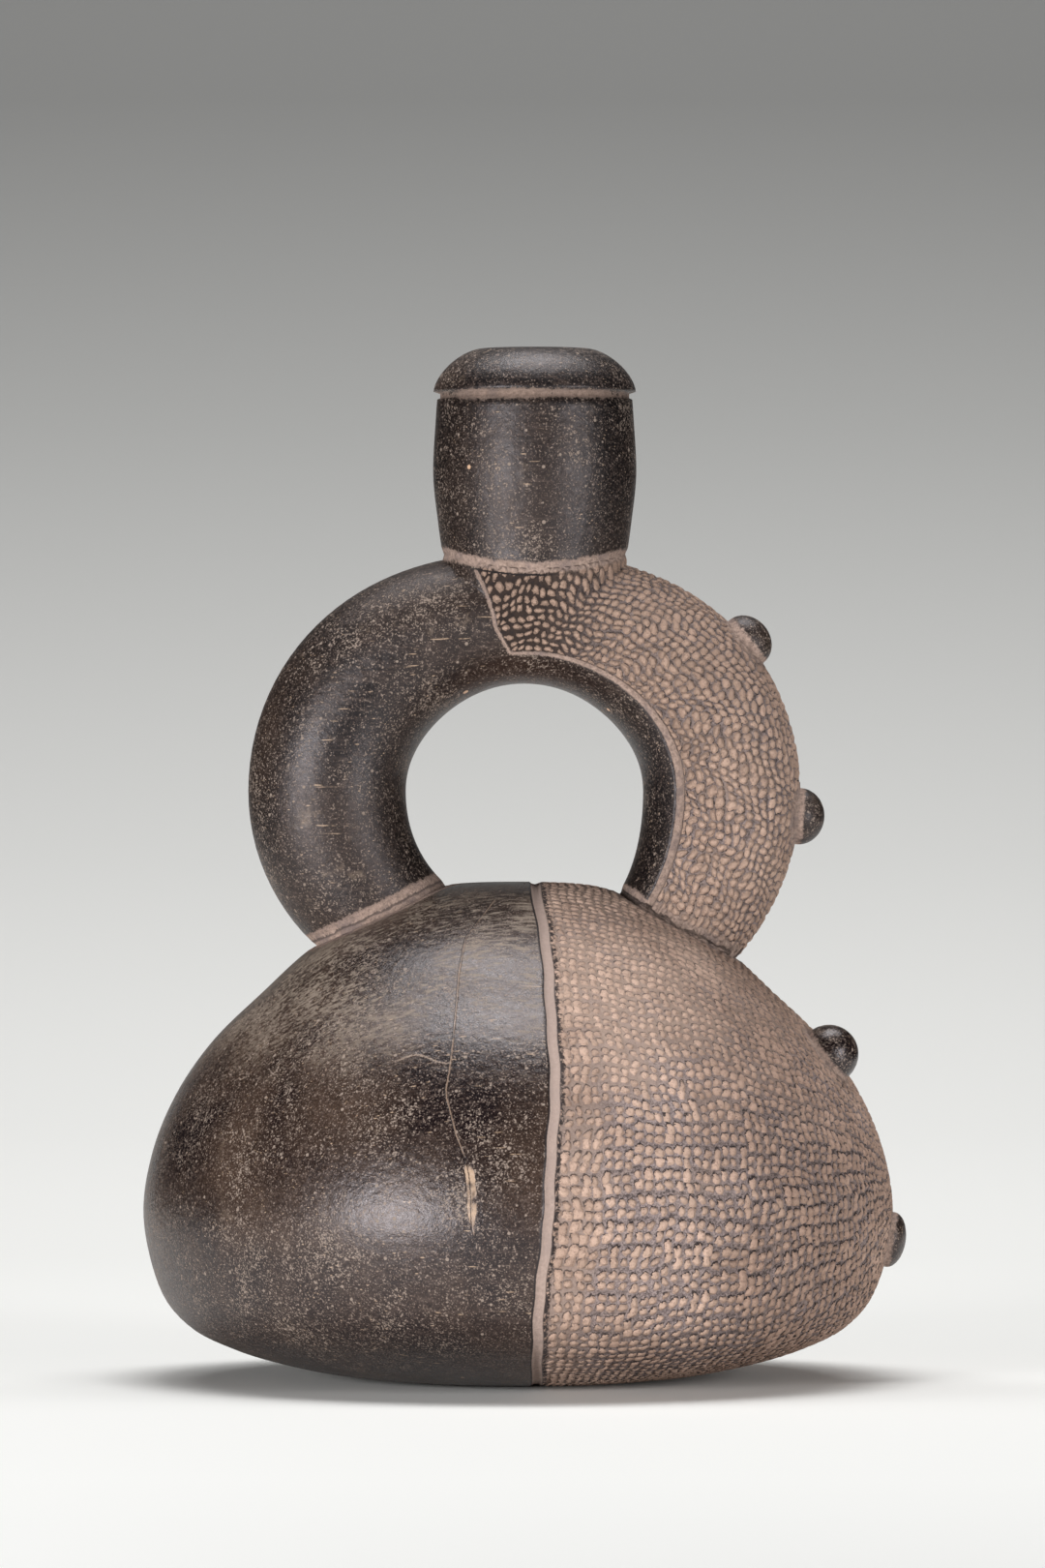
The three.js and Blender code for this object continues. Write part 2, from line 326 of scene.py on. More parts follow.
GROOVE = 1.15
GROOVE_DEPTH = 0.55
PELLET_DEPTH = 0.48
BODY_COLUMN = 2.4
BODY_STRIP = 4 * BODY_COLUMN
STIRRUP_COLUMN = 1.95
STIRRUP_ROW = 2.05
STIRRUP_GIRTH = 16.4
STIRRUP_INNER_LINE = 123
SEAM_DROP = 3.3
SEAM_DEPTH = 0.35
STAMP_MARGIN = 3.2
BACK_FROM = 6
FRONT_CUTS = 3
BACK_CUTS = 1
TRIANGLES = 195000
CRACK = [
    (35.7, -9.4), (39.5, -9.9), (44.5, -9.9), (50.3, -10.4), (57.5, -13.3), (66.4, -15.7),
    (73.6, -14.5), (85.1, -13.4), (92.2, -12.9), (99.3, -11.5), (107.8, -4.8),
]
TOP_LINE = [(161, -1.2), (162.6, -2.2), (167.5, -5.0), (171, -5.7), (176, -7.4), (180, -9.3)]


def gap_to(outline, radius, z):
    """Signed distance in the (radius, height) plane from a turned outline, outside being positive."""
    best = np.full(radius.shape, 1e9)
    signed = np.zeros(radius.shape)
    for (r0, z0), (r1, z1) in zip(outline, outline[1:]):
        along, up = r1 - r0, z1 - z0
        length = math.hypot(along, up)
        if length < 1e-6:
            continue
        share = np.clip(((radius - r0) * along + (z - z0) * up) / length**2, 0, 1)
        away = np.hypot(radius - r0 - share * along, z - z0 - share * up)
        side = ((radius - r0) * up - (z - z0) * along) / length
        closer = away < best
        best = np.where(closer, away, best)
        signed = np.where(closer, np.where(side < 0, -away, away), signed)
    return signed


def survey(points):
    """Where each point of the shell lies: its place in the pattern, and how far each part and line is."""
    x, y, z = points.T
    body_gap = gap_to([(0, 0), *body_line], np.hypot(x, y), z)
    spout_radius = np.hypot(x - SPOUT_X, y)
    spout_gap = gap_to([*spout_line, (0, HEIGHT)], spout_radius, z)

    angle = np.degrees(np.arctan2(z - ARCH.z, x - ARCH.x))
    angle = np.where(angle < -90, angle + 360, angle)
    for _ in range(6):
        step = arch_middle(angle + 0.5) - arch_middle(angle - 0.5)
        reach = np.linalg.norm(step, axis=-1)
        middle = arch_middle(angle)
        ahead = ((x - middle[:, 0]) * step[:, 0] + (z - middle[:, 1]) * step[:, 1]) / reach
        angle = angle + np.clip(ahead / reach, -12, 12)
    outward = arch_outward(angle)
    middle = arch_middle(angle)
    out = (x - middle[:, 0]) * outward[:, 0] + (z - middle[:, 1]) * outward[:, 1]
    in_plane, deep = tube_radii(angle)
    tube_gap = (np.hypot(out / in_plane, y / deep) - 1) * (in_plane + deep) / 2
    around = np.degrees(np.arctan2(np.abs(y) / deep, out / in_plane))

    shoulder = np.clip((z - 8) / (CROWN - 8), 0, 1)
    bow = 3.9 * np.sin(math.pi * shoulder**1.3)
    body_edge = x - 3.9 - bow - 0.22 * np.sin(z * 0.21) - 0.12 * np.sin(z * 0.63)
    top_z, top_x = np.array(TOP_LINE).T
    stirrup_edge = np.minimum(
        np.radians(STIRRUP_INNER_LINE - around) * STIRRUP_GIRTH, x - np.interp(z, top_z, top_x),
    )
    seam_z = NECK_FOOT + 0.2 - SEAM_DROP * (y / np.maximum(spout_radius, 1)) ** 2
    on_spout = (np.abs(spout_gap) < 0.3) & (z > ROOT_LOW) & (np.abs(spout_gap) < np.abs(tube_gap) + 0.2)
    on_stirrup = (np.abs(tube_gap) < np.abs(body_gap)) | on_spout | (z > CROWN + 12)
    edge = np.where(on_stirrup, stirrup_edge, body_edge)
    edge = np.where(z > seam_z - 6, np.minimum(edge, seam_z - z), edge)

    joint = np.maximum(np.abs(body_gap), np.abs(tube_gap))
    joint = np.where(z > ROOT_LOW + 10, np.abs(z - seam_z), joint)
    joint = np.minimum(joint, np.where(z > NECK_TOP - 6, np.abs(z - NECK_TOP - 0.75), 99))

    boss = np.full(len(points), 99.0)
    for place, direction, radius in BOSSES:
        rise = (points - place) @ direction
        spread = np.linalg.norm(points - place - rise[:, None] * direction, axis=1) - radius
        near = (np.abs(rise) < 9) & (spread < 12)
        boss = np.where(near, np.where((spread < 0.05) & (rise > 0.2), -np.abs(rise), spread), boss)

    towards = points - [0, 0, BODY_MIDDLE]
    towards /= np.linalg.norm(towards, axis=1, keepdims=True)
    column_angle = np.arcsin(np.clip(towards[:, 0], -1, 1))
    row_angle = np.arctan2(towards[:, 2], -towards[:, 1])
    body_u = BELLY * column_angle - np.clip(x - body_edge, 0, 9)
    body_v = BELLY * np.where(row_angle < -math.pi / 2, row_angle + math.tau, row_angle)
    stirrup_u = np.radians(STIRRUP_INNER_LINE - around) * STIRRUP_GIRTH
    stirrup_v = np.radians(angle) * 50
    stirrup_groove = np.where(x < 2, 0.45, np.interp(angle, [10, 88], [1.05, 0.5]))
    stirrup_groove = stirrup_groove * np.where(z > seam_z - 2, 0.3, 1)
    outside = (body_gap > -1.5) & (tube_gap > -1.5) & (spout_gap > -1.5)
    return {
        "u": np.where(on_stirrup, stirrup_u, body_u),
        "v": np.where(on_stirrup, stirrup_v, body_v),
        "stirrup": on_stirrup.astype(float),
        "edge": np.where(outside, edge, -60),
        "joint": np.where(outside, joint, 60),
        "boss": boss,
        "seam": np.where(outside & (z > ROOT_LOW + 10) & (z < NECK_BULGE_AT), z - seam_z, 60),
        "groove": np.where(on_stirrup, stirrup_groove, GROOVE),
        "crack": np.where(
            outside & (y < 0) & (z > 35) & (z < 108) & ~on_stirrup, x - np.interp(z, *np.array(CRACK).T), 60,
        ),
        "outside": outside,
    }


def limit(value, low=0.0, high=1.0):
    return np.minimum(np.maximum(value, low), high)


def ramp(value, start, end):
    """0 before start, 1 after end, even between."""
    return limit((value - start) / (end - start))


def chance(one, two, three):
    """An even random number for a cell, always the same one."""
    wild = np.sin(one * 1.2989 + two * 2.8233 + three * 3.7719) * 437.58
    return wild - np.floor(wild)


def body_pellets(u, v):
    """A pellet's place in its cell on the body: across, along, half width, half length, chance, painted shade
    in the gap between bands.

    The rows go in bands of two, and here and there a pair in a band has run together.
    """
    u = u + 0.35 * np.sin(v * 0.31) + 0.2 * np.sin(v * 0.83 + u * 0.4)
    strip = np.floor(u / BODY_STRIP)
    column = np.floor(u / BODY_COLUMN)
    run = v * np.cos((strip + 0.5) * (BODY_STRIP / BELLY) + 0.07) + 0.6 * np.sin(u * 0.19 + v * 0.06)
    first, far = limit(1 - strip), limit(strip * 0.5 - 2)
    band_height = 5.4 + 0.8 * (chance(strip, 1, 1) - 0.5) - 1.1 * far
    place = run / band_height + chance(strip, 2, 3) * far + 0.06 * np.sin(column * 2.1)
    band = np.floor(place)
    rise = (place - band) * band_height
    half = band_height * 0.5 - 0.36
    upper = limit((rise - half) * 1000)
    joined = limit((0.2 + 0.5 * first + 0.6 * far - chance(column, band, 9)) * 1000)
    luck = chance(column, band * 2 + upper, 7)
    worn = limit(1.5 * np.sin(u * 0.16 + 0.9) * np.sin(v * 0.12 + u * 0.05 + 2.0) + 0.4 * first)
    across = u - (column + 0.5) * BODY_COLUMN - 0.6 * (chance(column, band * 2 + upper, 3) - 0.5)
    along = rise - (0.5 + upper) * half - 0.2 * (luck - 0.5)
    half_length = half * (0.4 + 0.04 * worn + 0.18 * joined) + 0.24 * (luck - 0.5)
    # Painted shade in the gap at the top of each band.
    painted_band_gap_shade = ramp(rise, 2 * half - 0.3, 2 * half + 0.1)
    return across, along, 0.82 + 0.2 * luck + 0.22 * worn, half_length, luck, painted_band_gap_shade


def stirrup_pellets(u, v):
    """The same on the stirrup, where the pellets crowd together in crooked, oblique rows."""
    u = u + 0.55 * np.sin(v * 0.23) + 0.4 * np.sin(v * 0.61 + u * 0.5)
    column = np.floor(u / STIRRUP_COLUMN)
    run = v * (42 + 16 * np.cos(2.15 - (column + 0.5) * (STIRRUP_COLUMN / STIRRUP_GIRTH))) / 50
    run = run + 0.6 * np.sin(u * 0.5 + v * 0.31)
    place = run / STIRRUP_ROW + 0.38 * column + 0.4 * chance(column, 3, 4)
    row = np.floor(place)
    luck = chance(column, row, 7)
    across = u - (column + 0.5) * STIRRUP_COLUMN - 0.55 * (chance(column, row, 3) - 0.5)
    along = (place - row - 0.5) * STIRRUP_ROW - 0.35 * (luck - 0.5)
    return across, along, 0.8 + 0.16 * luck, 0.84 + 0.26 * chance(row, column, 6), luck, 0


def from_middle(across, along, half_width, half_length):
    """0 in the middle of a pellet and 1 on its edge."""
    wide, long = across / half_width, along / half_length
    return np.sqrt(wide * wide + long * long)


def bmesh_of(solid):
    bm = bmesh.new()
    bm.from_mesh(solid.data)
    return bm


bm = bmesh_of(body)
places = survey(np.array([face.calc_center_median()[:] for face in bm.faces]))
front = np.array([face.calc_center_median().y < BACK_FROM for face in bm.faces])
stamped = places["outside"] & (places["edge"] > -STAMP_MARGIN) & (places["boss"] > -1.0)
front_edges = {edge for face, good in zip(bm.faces, stamped & front) if good for edge in face.edges}
back_edges = {edge for face, good in zip(bm.faces, stamped & ~front) if good for edge in face.edges}
bmesh.ops.subdivide_edges(bm, edges=list(back_edges - front_edges), cuts=BACK_CUTS, use_grid_fill=True)
bmesh.ops.subdivide_edges(bm, edges=list(front_edges), cuts=FRONT_CUTS, use_grid_fill=True)
bm.normal_update()
bm.verts.ensure_lookup_table()
points = np.array([vert.co[:] for vert in bm.verts])
normals = np.array([vert.normal[:] for vert in bm.verts])
fields = survey(points)
on_stirrup = fields["stirrup"] > 0.5
body_cell = body_pellets(fields["u"], fields["v"])
stirrup_cell = stirrup_pellets(fields["u"], fields["v"])
cell = [np.where(on_stirrup, there, here) for here, there in zip(body_cell, stirrup_cell)]
pellet = from_middle(*cell[:4])
sunk = PELLET_DEPTH * ramp(pellet, 0.6, 1.15)
inside = ramp(fields["edge"], fields["groove"], fields["groove"] + 1.0)
inside = inside * ramp(fields["boss"], 0.3, 1.8) * ramp(fields["joint"], 0.8, 2.2)
sunk = sunk * inside * (1 - 0.5 * ramp(points[:, 2], 66, 88) * ~on_stirrup)
groove = 1 - ramp(np.abs(fields["edge"]) / fields["groove"], 0.5, 1.15)
sunk = sunk + GROOVE_DEPTH * groove * fields["outside"] * ramp(fields["groove"], 0, 1.2)
seam = (1 - ramp(fields["joint"], 0.2, 1.3)) * fields["outside"] * (points[:, 2] < NECK_TOP - 6)
sunk = sunk + SEAM_DEPTH * seam
for vert, point in zip(bm.verts, points - normals * sunk[:, None]):
    vert.co = point
bm.to_mesh(body.data)
bm.free()

# The stamped clay takes the thinning, so that the plain half keeps its smooth turn.
thinned = body.vertex_groups.new(name="stamped")
thinned.add(np.flatnonzero(fields["outside"] & (fields["edge"] > -1)).tolist(), 1.0, "REPLACE")
body.data.calc_loop_triangles()
change = body.modifiers.new("thin", "DECIMATE")
change.ratio = TRIANGLES / len(body.data.loop_triangles)
change.vertex_group = thinned.name
change.vertex_group_factor = 10
with bpy.context.temp_override(object=body, active_object=body):
    bpy.ops.object.modifier_apply(modifier=change.name)
body.vertex_groups.clear()
bm = bmesh_of(body)
bmesh.ops.dissolve_degenerate(bm, dist=1e-4, edges=bm.edges[:])
bmesh.ops.holes_fill(bm, edges=[edge for edge in bm.edges if edge.is_boundary], sides=12)
bm.to_mesh(body.data)
bm.free()
points = np.array([vert.co[:] for vert in body.data.vertices])
fields = survey(points)
for vert in body.data.vertices:
    vert.co *= MM
    vert.co.z = max(vert.co.z, 0)

vessel = body
vessel.name = "stirrup_vessel"
vessel.data.name = "stirrup_vessel"
for name in ("edge", "joint", "boss", "seam", "groove", "crack"):
    layer = vessel.data.attributes.new(name, "FLOAT", "POINT")
    layer.data.foreach_set("value", fields[name].astype(np.float32))
layer = vessel.data.attributes.new("place", "FLOAT_VECTOR", "POINT")
place = np.column_stack([fields["u"], fields["v"], fields["stirrup"]])
layer.data.foreach_set("vector", place.astype(np.float32).ravel())
vessel.data.polygons.foreach_set("use_smooth", [True] * len(vessel.data.polygons))

# ---------------------------------------------------------------------------------------------
# The finish: blackware, burnished with a stone where it is plain and left matt where it is
# stamped, with pale pigment rubbed over the pellets and into every groove and joint.


class Clay(np.lib.mixins.NDArrayOperatorsMixin):
    """A value inside a material that takes plain arithmetic; each step of it becomes a Math node."""

    STEPS = {
        np.add: "ADD", np.subtract: "SUBTRACT", np.multiply: "MULTIPLY", np.divide: "DIVIDE",
        np.minimum: "MINIMUM", np.maximum: "MAXIMUM", np.floor: "FLOOR", np.sin: "SINE", np.cos: "COSINE",
        np.absolute: "ABSOLUTE", np.sqrt: "SQRT", np.negative: "MULTIPLY",
    }

    def __init__(self, tree, socket=None):
        self.tree = tree
        self.socket = socket

    def __array_ufunc__(self, step, method, *values, **rest):
        if step is np.negative:
            values = (*values, -1)
        return self.node("ShaderNodeMath", {"operation": self.STEPS[step]}, dict(enumerate(values)))

    def node(self, kind, settings=None, sockets=None, out=0):
        """Adds a node with its settings, then its sockets by place or name, and gives one output."""
        node = self.tree.nodes.new(kind)
        for name, value in (settings or {}).items():
            setattr(node, name, value)
        for name, value in (sockets or {}).items():
            if isinstance(value, Clay):
                self.tree.links.new(value.socket, node.inputs[name])
            else:
                node.inputs[name].default_value = value
        return Clay(self.tree, node.outputs[out]) if node.outputs else None


def colour(red, green, blue):
    """A colour as it is seen, from 0 to 255, in the linear values that a material takes."""
    seen = [value / 255 for value in (red, green, blue)]
    linear = [value / 12.92 if value <= 0.04045 else ((value + 0.055) / 1.055) ** 2.4 for value in seen]
    return (*linear, 1)


def mixed(amount, first, second):
    """The first colour, turned towards the second by the amount."""
    return clay.node("ShaderNodeMix", {"data_type": "RGBA"}, {0: amount, 6: first, 7: second}, 2)


def noise(size, detail=2.0, roughness=0.5, at=None, out=0):
    """Even noise whose lumps are about size millimetres across."""
    sockets = {"Vector": at or spot, "Scale": 1 / (size * MM), "Detail": detail, "Roughness": roughness}
    return clay.node("ShaderNodeTexNoise", {}, sockets, out)


finish = bpy.data.materials.new("burnished_and_stamped_blackware")
finish.use_nodes = True
tree = finish.node_tree
tree.nodes.clear()
clay = Clay(tree)


def kept(name, out="Fac"):
    """A distance or a place that the mesh carries."""
    return clay.node("ShaderNodeAttribute", {"attribute_name": name}, out=out)


def parts(value, kind="ShaderNodeSeparateXYZ"):
    """The three numbers of a place or a colour."""
    outputs = clay.node(kind, {}, {0: value}).socket.node.outputs
    return [Clay(tree, output) for output in outputs][:3]


def laid(turn, across, up):
    """The place on the vessel turned about the depth axis and drawn out, for marks that lie one way."""
    return clay.node("ShaderNodeMapping", {}, {
        "Vector": spot, "Rotation": (0, math.radians(turn), 0), "Scale": (1 / across, 1 / up, 1 / up),
    })


def combed(turn, across, up):
    """Noise drawn out along one way, its lumps across by up millimetres."""
    drawn_out = laid(turn, across * MM, up * MM)
    return clay.node("ShaderNodeTexNoise", {}, {"Vector": drawn_out, "Scale": 1, "Detail": 2})


def cells(at, scale):
    """Scattered cells: how far a place is from the middle of its cell, and that cell's own random number."""
    away = clay.node("ShaderNodeTexVoronoi", {}, {"Vector": at, "Scale": scale}, "Distance")
    return away, parts(Clay(tree, away.socket.node.outputs["Color"]), "ShaderNodeSeparateColor")[0]


def strokes(length, width, turn, gap, share):
    """Thin curved marks lying one way, in millimetres; share is how many of the places for one have it."""
    drawn_out = laid(turn, length * gap * MM, width * gap * MM)
    bent = clay.node("ShaderNodeVectorMath", {"operation": "ADD"}, {0: drawn_out, 1: bend})
    away, kind = cells(bent, 1.0)
    return (1 - ramp(away * gap, 0.5, 1.0)) * ramp(kind, 1 - share, 1.05 - share * 0.6)


def grains(size, largest, share):
    """Round specks of dust about size millimetres apart, some of them missing."""
    away, kind = cells(spot, 1 / (size * MM))
    radius = (kind - 1 + share) * (largest / share)
    return ramp(radius - away * size, -0.04, 0.1) * ramp(radius, 0, 0.05)


spot = clay.node("ShaderNodeTexCoord", out="Object")
drift = noise(7, 1, 0.5, out="Color")
bend = clay.node("ShaderNodeVectorMath", {"operation": "SCALE"}, {0: drift, "Scale": 0.5})
edge, joint, boss = kept("edge"), kept("joint"), kept("boss")
seam, groove, crack = kept("seam"), kept("groove"), kept("crack")
u, v, on_stirrup = parts(kept("place", "Vector"))
east, depth, height = (axis / MM for axis in parts(spot))

fine = noise(0.42, 3, 0.65)
grain = noise(1.1, 3, 0.65)
ragged = noise(0.9, 3, 0.75)
patches = noise(13, 3, 0.6)
clouds = noise(30, 4, 0.6)

# The pellets: pale where the pigment lies, a grey ground between them low on the body, a dark cut along the
# upper side of each, and painted shade in the gaps between bands and in the pits between pellets.
wobble_u, wobble_v, _ = parts(noise(1.6, 1, 0.5, out="Color"), "ShaderNodeSeparateColor")
across, along, half_width, half_length, luck, painted_band_gap_shade = body_pellets(u, v)
across = across + (wobble_u - 0.5) * 1.3
along = along + (wobble_v - 0.5) * 1.3
body_pellet = from_middle(across, along, half_width, half_length)
body_side = ramp(along * 0.9 - across * 0.5, 0.1, 0.7)
across, along, half_width, half_length, stirrup_luck, _ = stirrup_pellets(u, v)
across = across + (wobble_u - 0.5)
along = along + (wobble_v - 0.5)
stirrup_pellet = from_middle(across, along, half_width, half_length)
stirrup_side = ramp(across * 0.7 - along * 0.6, -0.9, 0.3)
on_stirrup = ramp(on_stirrup, 0.4, 0.6)
bare = on_stirrup * ramp(height, 157, 161) * (1 - ramp(east + (patches - 0.5) * 14, 6, 22))
pellet = body_pellet + (stirrup_pellet * (1 + bare * 0.25) - body_pellet) * on_stirrup
luck = luck + (stirrup_luck - luck) * on_stirrup
cut_side = body_side + (stirrup_side - body_side) * on_stirrup

body_wash = limit(ramp(height, 52, 86) + (patches - 0.5) * 2.4)
stirrup_wash = ramp(patches, 0.42, 0.66) * (1 - ramp(height, 125, 150) * 0.4)
wash = body_wash + (stirrup_wash - body_wash) * on_stirrup
wash = np.maximum(wash, (1 - ramp(joint + (patches - 0.5) * 6, 2.0, 4.5)) * 0.95)
wash = np.maximum(wash, (1 - ramp(edge + (patches - 0.5) * 16, 7, 13)) * 0.7 * (1 - on_stirrup))
# The painted shade in the band gaps, patchy, weaker where the pigment lies and none on the stirrup.
painted_band_gap_shade = painted_band_gap_shade * (1 - on_stirrup) * ramp(ragged - wash * 0.4 + (patches - 0.5) * 0.7, 0.4, 0.6) * 0.8
frayed = pellet + (fine - 0.5) * 0.9 + (ragged - 0.5) * 0.45
raised = 1 - ramp(frayed, 0.94, 1.08)
cut = ramp(frayed, 0.9, 1.0) * (1 - ramp(frayed, 1.12, 1.32)) * limit(cut_side)
cut = cut * (1 - wash * 0.3 * (1 - on_stirrup)) * (1 - on_stirrup * ramp(ragged, 0.44, 0.6) * 0.85)
# Painted shade in the corners between pellets on the stirrup.
painted_pit_shade = ramp(frayed, 1.3, 1.55) * on_stirrup * ramp(grain, 0.42, 0.56)
ground = mixed(ramp(fine, 0.34, 0.58), colour(92, 80, 79), colour(152, 137, 134))
ground = mixed(ramp(grain, 0.55, 0.75) * 0.7, ground, colour(62, 53, 53))
ground = mixed(wash, ground, mixed(ramp(grain, 0.3, 0.7), colour(138, 119, 107), colour(164, 142, 129)))
ground = mixed(bare, ground, colour(58, 45, 38))
tan = mixed(luck, colour(172, 146, 130), colour(194, 165, 148))
tan = mixed(ramp(grain, 0.5, 0.7) * 0.55, tan, colour(146, 123, 110))
tan = mixed(ramp(fine, 0.57, 0.68) * 0.7, tan, colour(104, 85, 76))
stamped_colour = mixed(raised, ground, tan)
# The cuts take the clay's own dark; the band gaps and the pits take the same dark as painted shade.
stamped_colour = mixed(limit(cut + painted_band_gap_shade * (1 - raised) + painted_pit_shade * 0.8), stamped_colour, colour(42, 34, 33))
# Patchy fading, with painted shade darkening the body's stamped side towards the right.
fading_and_painted_side_shade = ramp(noise(24, 3, 0.6) + ramp(u, 15, 62) * 0.22 * (1 - on_stirrup) + on_stirrup * 0.04, 0.46, 0.72)
shade = mixed(fading_and_painted_side_shade, (1.08, 1.08, 1.08, 1), (0.76, 0.73, 0.71, 1))
shade = mixed(on_stirrup * (0.4 + 0.6 * ramp(height, 120, 175)), shade, (0.74, 0.72, 0.7, 1))
stamped_colour = clay.node("ShaderNodeVectorMath", {"operation": "MULTIPLY"}, {0: stamped_colour, 1: shade})

# The plain clay: black where it is well burnished, brown where it is thin, dusty and scratched.
low = 1 - ramp(height + (clouds - 0.5) * 40, 12, 48)
dark = mixed(ramp(clouds, 0.38, 0.62), colour(22, 14, 15), colour(64, 49, 40))
dark = mixed(on_stirrup * 0.75, dark, mixed(ramp(clouds, 0.44, 0.68), colour(7, 4, 4), colour(30, 19, 12)))
dark = mixed(low * 0.6, dark, colour(38, 29, 27))
dark = mixed(ramp(grain, 0.54, 0.7) * (0.5 - on_stirrup * 0.2), dark, colour(98, 82, 74))
dark = mixed(ramp(fine, 0.57, 0.64) * (0.6 - on_stirrup * 0.1), dark, colour(136, 117, 106))
dark = mixed(ramp(0.5 - fine, 0.04, 0.12) * 0.5, dark, colour(12, 8, 9))
inner = on_stirrup * ramp(-u, 0, 8) * ramp(height, 148, 163) * (1 - ramp(east, 4, 34))
dark = mixed(inner * 0.8, dark, colour(50, 24, 6))
dark = mixed(ramp(combed(4, 22, 0.9), 0.52, 0.72) * 0.3, dark, colour(90, 75, 68))
scuffed = ramp(height, 66, 88) * (1 - ramp(height, 106, 113)) * (1 - on_stirrup)
scuffs = ramp(combed(-24, 3.6, 0.9) + (clouds - 0.5) * 0.9 + (fine - 0.5) * 0.3, 0.5, 0.7) * scuffed
dark = mixed(scuffs * 0.8, dark, colour(142, 128, 114))
blotch = ramp(noise(5, 4, 0.7) + (clouds - 0.5) * 0.3, 0.64, 0.8)
dark = mixed(blotch * 0.5, dark, colour(128, 111, 96))
clusters = ramp(patches, 0.3, 0.6)
dust = np.maximum(grains(0.85, 0.3, 0.36) * clusters, grains(1.9, 0.46, 0.36))
dust = limit(np.maximum(dust, ramp(fine * 0.7 + grain * 0.35 + (patches - 0.5) * 0.3, 0.59, 0.66)))
marks = np.maximum(strokes(2.6, 0.17, 6, 7, 0.42), strokes(1.6, 0.16, 64, 8, 0.4))
marks = np.maximum(marks, strokes(3.6, 0.15, -30, 7, 0.32))
dark = mixed(dust * 0.8, dark, colour(150, 134, 122))
dark = mixed(limit(marks * ramp(grain, 0.3, 0.5)) * 0.85, dark, colour(176, 150, 126))
dark = mixed(grains(11, 0.75, 0.5), dark, colour(206, 168, 138))

# The long hair crack in the plain half with a painted shadow along one side, the loss beside its lower end
# and the branch to its left.
away = np.absolute(crack + (ragged - 0.5) * 0.5)
loss = ramp(height, 38, 41) * (1 - ramp(height, 50, 53))
hair = 1 - ramp(away - loss * 0.8, 0.1, 0.28)
bared = mixed(loss, colour(128, 108, 94), colour(178, 152, 130))
dark = mixed(hair * ramp(noise(5, 2, 0.6), 0.36, 0.5), dark, bared)
# Painted shadow: a near-black line along one side of the crack.
painted_crack_shadow = 1 - ramp(np.absolute(crack + 0.25 + (ragged - 0.5) * 0.5), 0.06, 0.16)
dark = mixed(painted_crack_shadow * 0.8, dark, colour(14, 11, 11))
branch = np.absolute(height - 73.6 - np.sin(east * 0.5) * 0.8 + (ragged - 0.5) * 1.2)
branch = (1 - ramp(branch, 0.08, 0.24)) * ramp(east, -28, -25) * (1 - ramp(east, -15, -14))
branch = branch * (1 - ramp(depth, -40, -30))
dark = mixed(branch * 0.8, dark, colour(150, 132, 118))

# The border groove, the luted seams and the rings around the bosses, all filled with pigment, with painted
# shadow along the groove's left edge and under the seam below the spout.
stamped_share = ramp(edge - groove + (ragged - 0.5) * 0.5, 0, 0.3) * ramp(boss, 0.0, 0.25)
colours = mixed(stamped_share, dark, stamped_colour)
filled = 1 - ramp(np.absolute(edge) - groove + (ragged - 0.5) * (0.5 + on_stirrup * 1.1), -0.15, 0.1)
at_lip = ramp(height, NECK_TOP - 7, NECK_TOP - 6)
at_foot = 1 - ramp(height, 128, 132)
seamed = joint + (ragged - 0.5) * 2.6 + (patches - 0.5) * (2.4 - at_foot) + at_lip * 0.5 - at_foot * 1.1
seamed = seamed - at_foot * (1 - ramp(east, -12, 0)) * 0.7
seamed = 1 - ramp(seamed, 1.0, 1.5)
ringed = ramp(boss + (ragged - 0.5) * 1.4, -1.1, -0.5) * (1 - ramp(boss + (ragged - 0.5) * 2.4, 0.9, 1.9))
pale = np.maximum(np.maximum(filled, seamed), ringed)
fill = mixed(ramp(ragged, 0.35, 0.65), colour(126, 108, 98), colour(176, 152, 139))
fill = mixed(ramp(noise(4, 3, 0.6), 0.5, 0.68) * 0.6, fill, colour(112, 99, 97))
clean = filled * (1 - seamed) * (1 - on_stirrup) * (0.5 + 0.5 * ramp(height, 0, 60))
fill = mixed(clean * 0.8, fill, colour(166, 147, 138))
layered = 1 - ramp(np.absolute(joint - 1.05 + (ragged - 0.5)), 0.12, 0.35)
layered = layered * at_foot * (1 - ramp(east, -6, 0))
fill = mixed(layered * 0.75, fill, colour(70, 60, 58))
fill = mixed(at_lip * 0.4, fill, colour(88, 74, 64))
colours = mixed(pale, colours, fill)
beside = ramp(edge - groove, 0, 0.1) * (1 - ramp(edge - groove + (ragged - 0.5) * 2.2, 0.8, 1.2))
beside = beside * (1 - on_stirrup)
colours = mixed(beside * ramp(grain, 0.4, 0.5) * (1 - seamed), colours, colour(50, 42, 40))
# Painted shadow along the left edge of the groove.
painted_groove_edge_shadow = 1 - ramp(np.absolute(edge + groove + 0.12 + (ragged - 0.5) * 0.3), 0.12, 0.28)
painted_groove_edge_shadow = painted_groove_edge_shadow * ramp(groove, 0.6, 1.0)
colours = mixed(painted_groove_edge_shadow * (1 - seamed), colours, colour(30, 24, 23))
# Painted shadow under the seam below the spout, on the front.
painted_shadow_under_seam = 1 - ramp(np.absolute(seam + 1.75 + (ragged - 0.5) * 0.7), 0.14, 0.32)
painted_shadow_under_seam = painted_shadow_under_seam * ramp(east, -13, -9) * (1 - ramp(east, 6, 12)) * (1 - ramp(depth, -6, 0))
colours = mixed(painted_shadow_under_seam, colours, colour(30, 24, 23))

